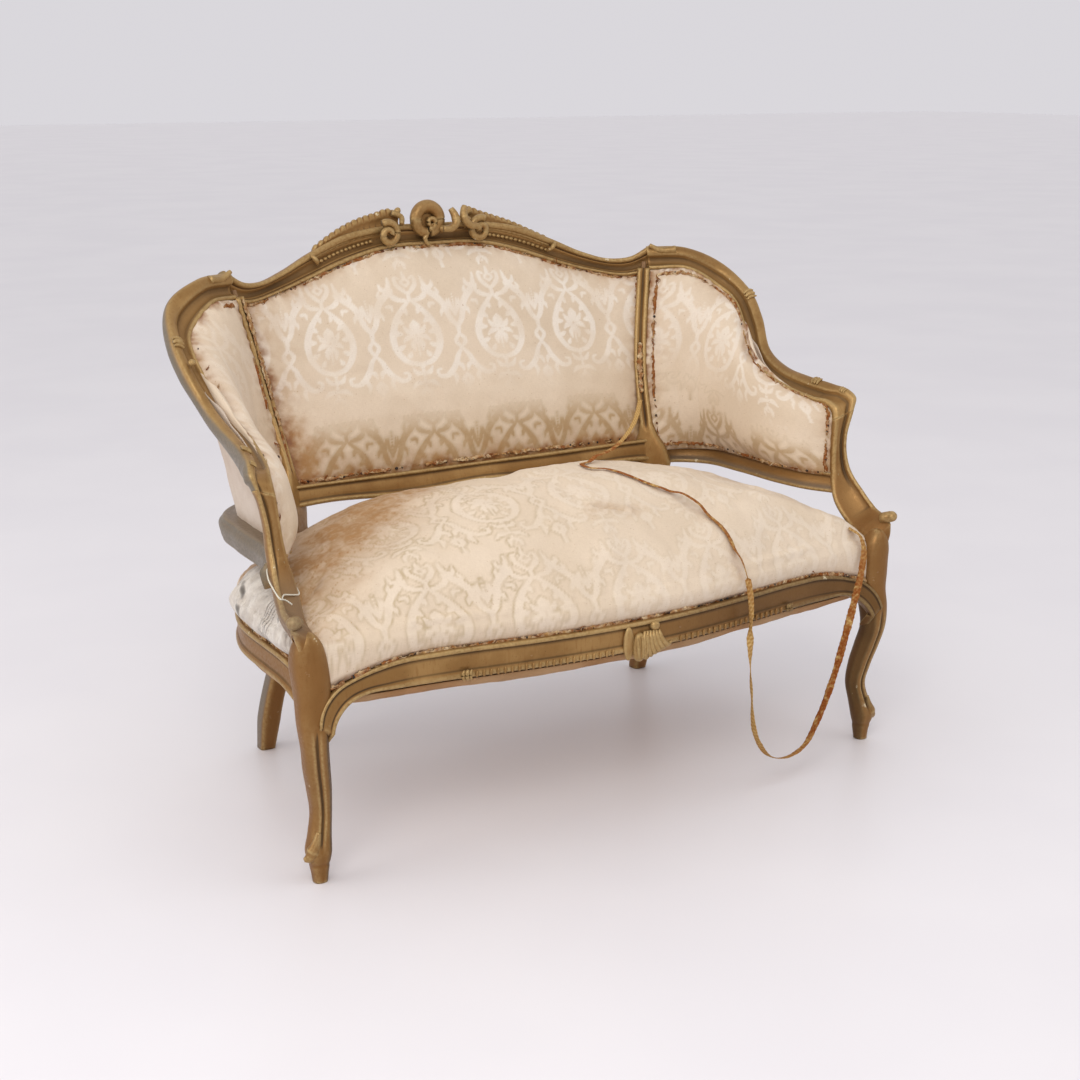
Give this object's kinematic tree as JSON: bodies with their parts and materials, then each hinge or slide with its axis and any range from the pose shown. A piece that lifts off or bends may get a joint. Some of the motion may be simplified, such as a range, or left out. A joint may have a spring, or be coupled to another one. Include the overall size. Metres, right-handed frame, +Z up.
{
  "type": "two-seater salon sofa",
  "caption": "Small open-frame salon settee with carved legs, a bowed seat rail, a shaped back running through wings into low arms, and a sprung seat with stuffed pads.",
  "frame": {"origin": "on the floor under the middle of the bounding box, without the loose strip of gimp", "axes": "+Z up, the front of the seat towards -Y, +X to the right when seen from the front"},
  "size_m": [1.214, 0.7629, 0.983],
  "materials": {
    "gilt_wood": "worn old gilding",
    "bare_beech": "bare",
    "cream_damask": "woven silk",
    "raw_canvas": "raw",
    "spring_steel": "dull",
    "gimp_braid": "woven braid"
  },
  "bodies": {
    "root": {"arm_lower_rail_left": "gilt_wood", "arm_lower_rail_right": "gilt_wood", "arm_pad_left": "cream_damask", "arm_pad_right": "cream_damask", "arm_post_left": "gilt_wood", "arm_post_right": "gilt_wood", "back_canvas": "raw_canvas", "back_lower_rail": "gilt_wood", "back_pad": "cream_damask", "bottom_cloth": "raw_canvas", "corner_block_front_left": "bare_beech", "corner_block_front_right": "bare_beech", "corner_block_rear_left": "bare_beech", "corner_block_rear_right": "bare_beech", "crest_leaf_left": "gilt_wood", "crest_leaf_right": "gilt_wood", "crest_rail": "gilt_wood", "crest_scroll": "gilt_wood", "dowel_arm_post_left": "bare_beech", "dowel_arm_post_right": "bare_beech", "dowel_crest_left": "bare_beech", "dowel_crest_right": "bare_beech", "dowel_front_rail_left": "bare_beech", "dowel_front_rail_right": "bare_beech", "dowel_rear_rail_left": "bare_beech", "dowel_rear_rail_right": "bare_beech", "dowel_side_rail_front_left": "bare_beech", "dowel_side_rail_front_right": "bare_beech", "dowel_side_rail_rear_left": "bare_beech", "dowel_side_rail_rear_right": "bare_beech", "front_leg_left": "gilt_wood", "front_leg_right": "gilt_wood", "front_rail_shell": "gilt_wood", "front_seat_rail": "gilt_wood", "loose_gimp": "gimp_braid", "outside_arm_cover_left": "cream_damask", "outside_arm_cover_right": "cream_damask", "outside_back_cover": "cream_damask", "rear_post_left": "gilt_wood", "rear_post_right": "gilt_wood", "rear_seat_rail": "bare_beech", "seat_canvas": "raw_canvas", "seat_pad": "cream_damask", "seat_spring_1": "spring_steel", "seat_spring_2": "spring_steel", "seat_spring_3": "spring_steel", "seat_spring_4": "spring_steel", "seat_spring_5": "spring_steel", "seat_spring_6": "spring_steel", "seat_spring_7": "spring_steel", "seat_spring_8": "spring_steel", "seat_webbing": "raw_canvas", "side_seat_rail_left": "gilt_wood", "side_seat_rail_right": "gilt_wood", "wing_rail_left": "gilt_wood", "wing_rail_right": "gilt_wood"}
  },
  "joints": []
}
